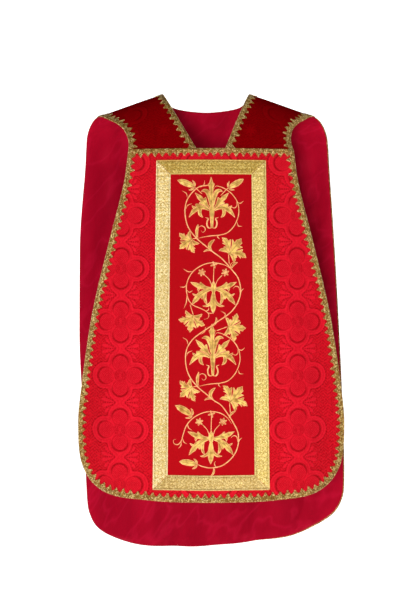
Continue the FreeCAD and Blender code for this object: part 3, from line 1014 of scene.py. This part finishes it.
# Leaves: base, the point they bend towards, tip, width, and the profiles of their left and right sides.
# Those of a vine leaf and a bud point up from a foot at the origin, and are one unit long.
VINE_LEAF = [
    ((0, 0), (0.05, 0.5), (-0.02, 1.0), 0.42, "lobed", "jagged"),
    ((0.0, 0.10), (0.36, 0.46), (0.76, 0.42), 0.30, "lobed", "jagged"),
    ((0.0, 0.08), (0.30, 0.14), (0.47, -0.16), 0.20, "lobed", "slim"),
]
BUD = [
    ((0, 0.06), (0.04, 0.5), (0, 1.0), 0.32, "bud", "bud"),
    ((0, 0.02), (0.18, 0.02), (0.28, 0.24), 0.09, "slim", "slim"),
]
MAIN = {  # the main stem round the left of a palmette, and round the right of a lily
    "palmette": [(-32, 62), (-50, 47), (-63, 26), (-67, 2), (-64, -24), (-55, -46), (-37, -68), (-17, -85),
                 (4, -102), (25, -118)],
    "lily": [(46, 49), (61, 28), (67, 0), (62, -26), (49, -48), (33, -63), (12, -77), (-13, -94)],
}
FIRST = [(-2, 67), (-17, 65)]  # where the main stem sets out
LAST = {  # the main stem round the last flower
    "palmette": [(-63, 26), (-67, 2), (-64, -24), (-52, -46), (-30, -61), (0, -68), (24, -66), (38, -61)],
    "lily": [(61, 28), (67, 0), (62, -26), (48, -47), (26, -63), (0, -68), (-20, -65), (-33, -60)],
}
BRANCH = {  # the stem that branches off round the other side, and its form round a lily at the end
    "palmette": [(-37, -68), (-22, -64), (-4, -61), (18, -59), (38, -53), (55, -36), (65, -13), (67, 6),
                 (62, 27), (48, 46), (29, 59), (11, 64), (5, 56)],
    "lily": [(44, 51), (31, 60), (15, 65), (-4, 67), (-26, 62), (-48, 48), (-61, 30), (-67, 10), (-66, -9),
             (-61, -26), (-50, -38), (-34, -45), (-20, -52), (-12, -60), (-14, -70), (-24, -73)],
    "end": [(50, 38), (39, 53), (22, 64), (0, 68), (-22, 64), (-44, 52), (-60, 34), (-68, 13), (-73, -4),
            (-82, -13), (-91, -10), (-92, -2), (-86, 0)],
}
# The right half of each flower is drawn again mirrored, and then its middle.
PALMETTE = [
    ((3, 14), (6, 62), (27, 50), 10.0, "plain", "slim"),
    ((5, 6), (17, 22), (42, 47), 14.0, "lobed", "lobed"),
    ((6, 3), (34, 25), (57, -15), 13.0, "lobed", "plain"),
    ((26, 9), (36, -6), (22, -15), 8.0, "slim", "slim"),
    ((38, 10), (46, 8), (49, 15), 5.0, "slim", "slim"),
]
PALMETTE_MIDDLE = [
    ((0, -42), (0, -16), (0, 18), 12.0, "club", "club"),
    ((0, 10), (-1, 50), (-2, 86), 13.0, "crown", "crown"),
]
LILY = [
    ((6, 4), (30, 5), (57, 19), 12.5, "lobed", "plain"),
    ((20, 9), (40, 9), (37, -5), 7.0, "slim", "slim"),
    ((5, 1), (32, -4), (54, -38), 14.5, "plain", "lobed"),
    ((18, -6), (26, -24), (15, -37), 7.0, "slim", "slim"),
    ((37, -13), (44, -17), (52, -9), 4.5, "slim", "slim"),
    ((4, -24), (8, -42), (27, -40), 6.5, "slim", "slim"),
]
LILY_MIDDLE = [
    ((0, -4), (-1, -30), (-1, -59), 15.0, "plain", "plain"),
    ((0, -8), (0, 4), (0, 22), 13.0, "slim", "slim"),
]
ANCHOR = [(1, -41), (8, -41), (12, -34), (12, -25), (9, -18), (16, -15)]


def palmette(needle, centre):
    for way in (-1, 1):
        needle.spray(needle.flowers, centre, PALMETTE, way)
        anchor = [(way * x, y) for x, y in ANCHOR]
        needle.stem(anchor, centre, radius=1.9, taper=0.25, mesh=needle.flowers)
    needle.spray(needle.flowers, centre, PALMETTE_MIDDLE)


def lily(needle, centre):
    needle.stem([(0, 3), (0, 30), (1, 60)], centre, radius=1.0, taper=0.05, mesh=needle.flowers)
    needle.star(centre, (1, 62), 9, 4)
    for way in (-1, 1):
        needle.spray(needle.flowers, centre, LILY, way)
        stamen = [(way * 4, 9), (way * 10, 24), (way * 22, 37)]
        needle.stem(stamen, centre, radius=0.9, taper=0.1, mesh=needle.flowers)
        needle.star(centre, (way * 29, 43), 10, 6)
    needle.spray(needle.flowers, centre, LILY_MIDDLE)


RIGHT_HOOKS = [[(66, -10), (63, 5), (55, 9), (48, 3)], [(67, -10), (69, -2), (75, 3)]]
HOOKS = {  # tendrils, each from its foot to its tip
    "palmette": [
        [(-61, 35), (-64, 46), (-74, 52)], [(-64, 7), (-61, 15), (-50, 20)],
        [(-30, 60), (-20, 67), (-18, 78)], [(61, 24), (62, 15), (56, 9), (47, 13)],
        [(62, 24), (71, 21), (79, 27)], [(63, -27), (66, -36), (75, -37)], [(18, -58), (14, -63), (19, -69)],
        [(-37, -43), (-27, -36), (-18, -40), (-17, -48), (-23, -52), (-27, -48)],
    ],
    "lily": [
        [(-51, 46), (-62, 45), (-75, 52)], [(-67, 14), (-72, 7), (-83, 7)], [(-66, 0), (-60, -6), (-52, -2)],
        [(-66, -10), (-67, -30), (-73, -46)], [(24, -69), (29, -60), (18, -52)],
        [(46, 50), (42, 62), (50, 70)], [(-20, -52), (-13, -50), (-12, -44)],
        [(-14, -57), (-7, -58), (0, -57)],
    ] + RIGHT_HOOKS,
    "end": [
        [(-70, 6), (-67, -6), (-59, -11)], [(-73, -4), (-74, -15), (-80, -22)],
        [(-58, 40), (-55, 28), (-46, 22)], [(14, -68), (8, -60), (10, -52)],
    ] + RIGHT_HOOKS,
}
BLADES = {  # narrow leaves on the stem
    "palmette": [((-36, -66), (-40, -50), (-34, -32), 6.5), ((0, -99), (-14, -84), (7, -70), 8.0),
                 ((0, -99), (-8, -92), (-21, -101), 4.0)],
    "lily": [((44, 52), (49, 66), (60, 68), 4.5), ((-2, -89), (10, -80), (6, -68), 4.0)],
}


def embroider(prefix, panel, rings, up):
    """A vine down the panel that winds round a palmette and a lily in turn."""
    needle = Needle(panel, up)
    main = [needle.flat(FIRST, rings[0])]
    for i, ring in enumerate(rings):
        kind, flower = (("palmette", palmette), ("lily", lily))[i % 2]
        last = i == len(rings) - 1
        ending = "end" if last and kind == "lily" else kind
        main.append(needle.flat((LAST if last else MAIN)[kind], ring))
        needle.stem(BRANCH[ending], ring)
        flower(needle, ring)
        for line in HOOKS[ending]:
            needle.stem(line, ring, taper=0.45)
        for blade in BLADES[kind]:
            needle.leaf(needle.leaves, ring, *blade)
        if i == 0:
            needle.bud(ring, (-43, 62), (-86, 79))
            needle.bud(ring, (41, 60), (79, 82))
            needle.stem([(-24, 44), (-33, 52), (-42, 61)], ring, radius=1.0)
            needle.stem([(22, 40), (32, 51), (42, 61)], ring, radius=1.0)
        if kind == "palmette" and not last:
            needle.vine_leaf(ring, (-48, -68), 127, 41, (-37, -67))
            needle.vine_leaf(ring, (41, -107), -40, 51, (43, -132))
        if kind == "palmette" and i:
            needle.vine_leaf(ring, (36, 79), -96, 46, (9, 69))
        if kind == "lily" and not last:
            needle.vine_leaf(ring, (-50, -62), 168, 44, (-58, -36))
        if last:
            way = -1 if kind == "lily" else 1
            needle.bud(ring, (way * 34, -60), (way * 78, -54))
            needle.bud(ring, (way * 46, 58), (way * 88, 82))
    line = smooth(np.vstack(main), spacing=STITCH_STEP)
    cord(needle.stems, line, 1.4, STITCH_BASE + 0.2, PALE_SLOT, 0.01)
    for mesh, part in ((needle.stems, "vine"), (needle.flowers, "flowers"), (needle.leaves, "leaves")):
        mesh.hang(f"{prefix}_stitching_{part}", [GOLD, PALE], "gold_thread", f"{prefix}_embroidery_{part}")


embroider("front", FRONT, FRONT_RINGS, 1)
embroider("back", BACK, BACK_RINGS, -1)


# ---- stage, light and camera


MIDDLE = (0, 0, -0.6)
ROOM_LIGHT = 0.09
CAMERA_PLACE = (-0.004, -2.6, -0.535)


def sweep():
    """A pale floor that curves up into a pale wall."""
    floor, wall, radius = -1.45, 2.6, 0.8
    profile = [(-6.0, floor), (wall - radius, floor)]
    for i in range(1, 9):
        angle = math.radians(90 * i / 8)
        profile.append((wall - radius + radius * math.sin(angle), floor + radius * (1 - math.cos(angle))))
    profile.append((wall, 4.0))
    corners = [(x, y, z) for y, z in profile for x in (-6.0, 6.0)]
    faces = [(2 * i, 2 * i + 1, 2 * i + 3, 2 * i + 2) for i in range(len(profile) - 1)]
    mesh = bpy.data.meshes.new("sweep")
    mesh.from_pydata(corners, [], faces)
    mesh.shade_smooth()
    n = Nodes("paper")
    mesh.materials.append(n.finish(Base_Color=(0.86, 0.86, 0.86), Roughness=0.9,
                                   Emission_Color=(1, 1, 1), Emission_Strength=0.85))
    add_object("sweep", mesh)


def lamp(name, place, size, power, tint=(1, 1, 1)):
    """A soft square light that faces the middle of the garment."""
    data = bpy.data.lights.new(name, "AREA")
    data.size = size
    data.energy = power
    data.color = tint
    light = add_object(name, data)
    light.location = place
    x, y, z = np.subtract(MIDDLE, place).tolist()
    light.rotation_euler = (math.atan2(math.hypot(x, y), -z), 0, math.atan2(-x, y))


sweep()
lamp("key", place=(-0.35, -2.95, -0.72), size=0.7, power=73, tint=(1.0, 0.98, 0.94))
lamp("fill", place=(2.2, -1.9, -0.7), size=1.4, power=9)

# the camera sees a white room, and the cloth gets little light from it
world = bpy.data.worlds.new("studio")
world.use_nodes = True
tree = world.node_tree
backdrop = tree.nodes["Background"]
backdrop.inputs[0].default_value = (1, 1, 1, 1)
seen = tree.nodes.new("ShaderNodeLightPath")
level = tree.nodes.new("ShaderNodeMapRange")
level.inputs[3].default_value = ROOM_LIGHT
tree.links.new(seen.outputs["Is Camera Ray"], level.inputs[0])
tree.links.new(level.outputs[0], backdrop.inputs[1])
bpy.context.scene.world = world
bpy.context.scene.view_settings.view_transform = "Standard"

camera_data = bpy.data.cameras.new("camera")
camera_data.sensor_fit = "VERTICAL"
camera_data.sensor_height = 24.0
camera_data.lens = 40.0
camera = add_object("camera", camera_data)
camera.location = CAMERA_PLACE
camera.rotation_euler = (math.radians(90), 0, 0)
bpy.context.scene.camera = camera
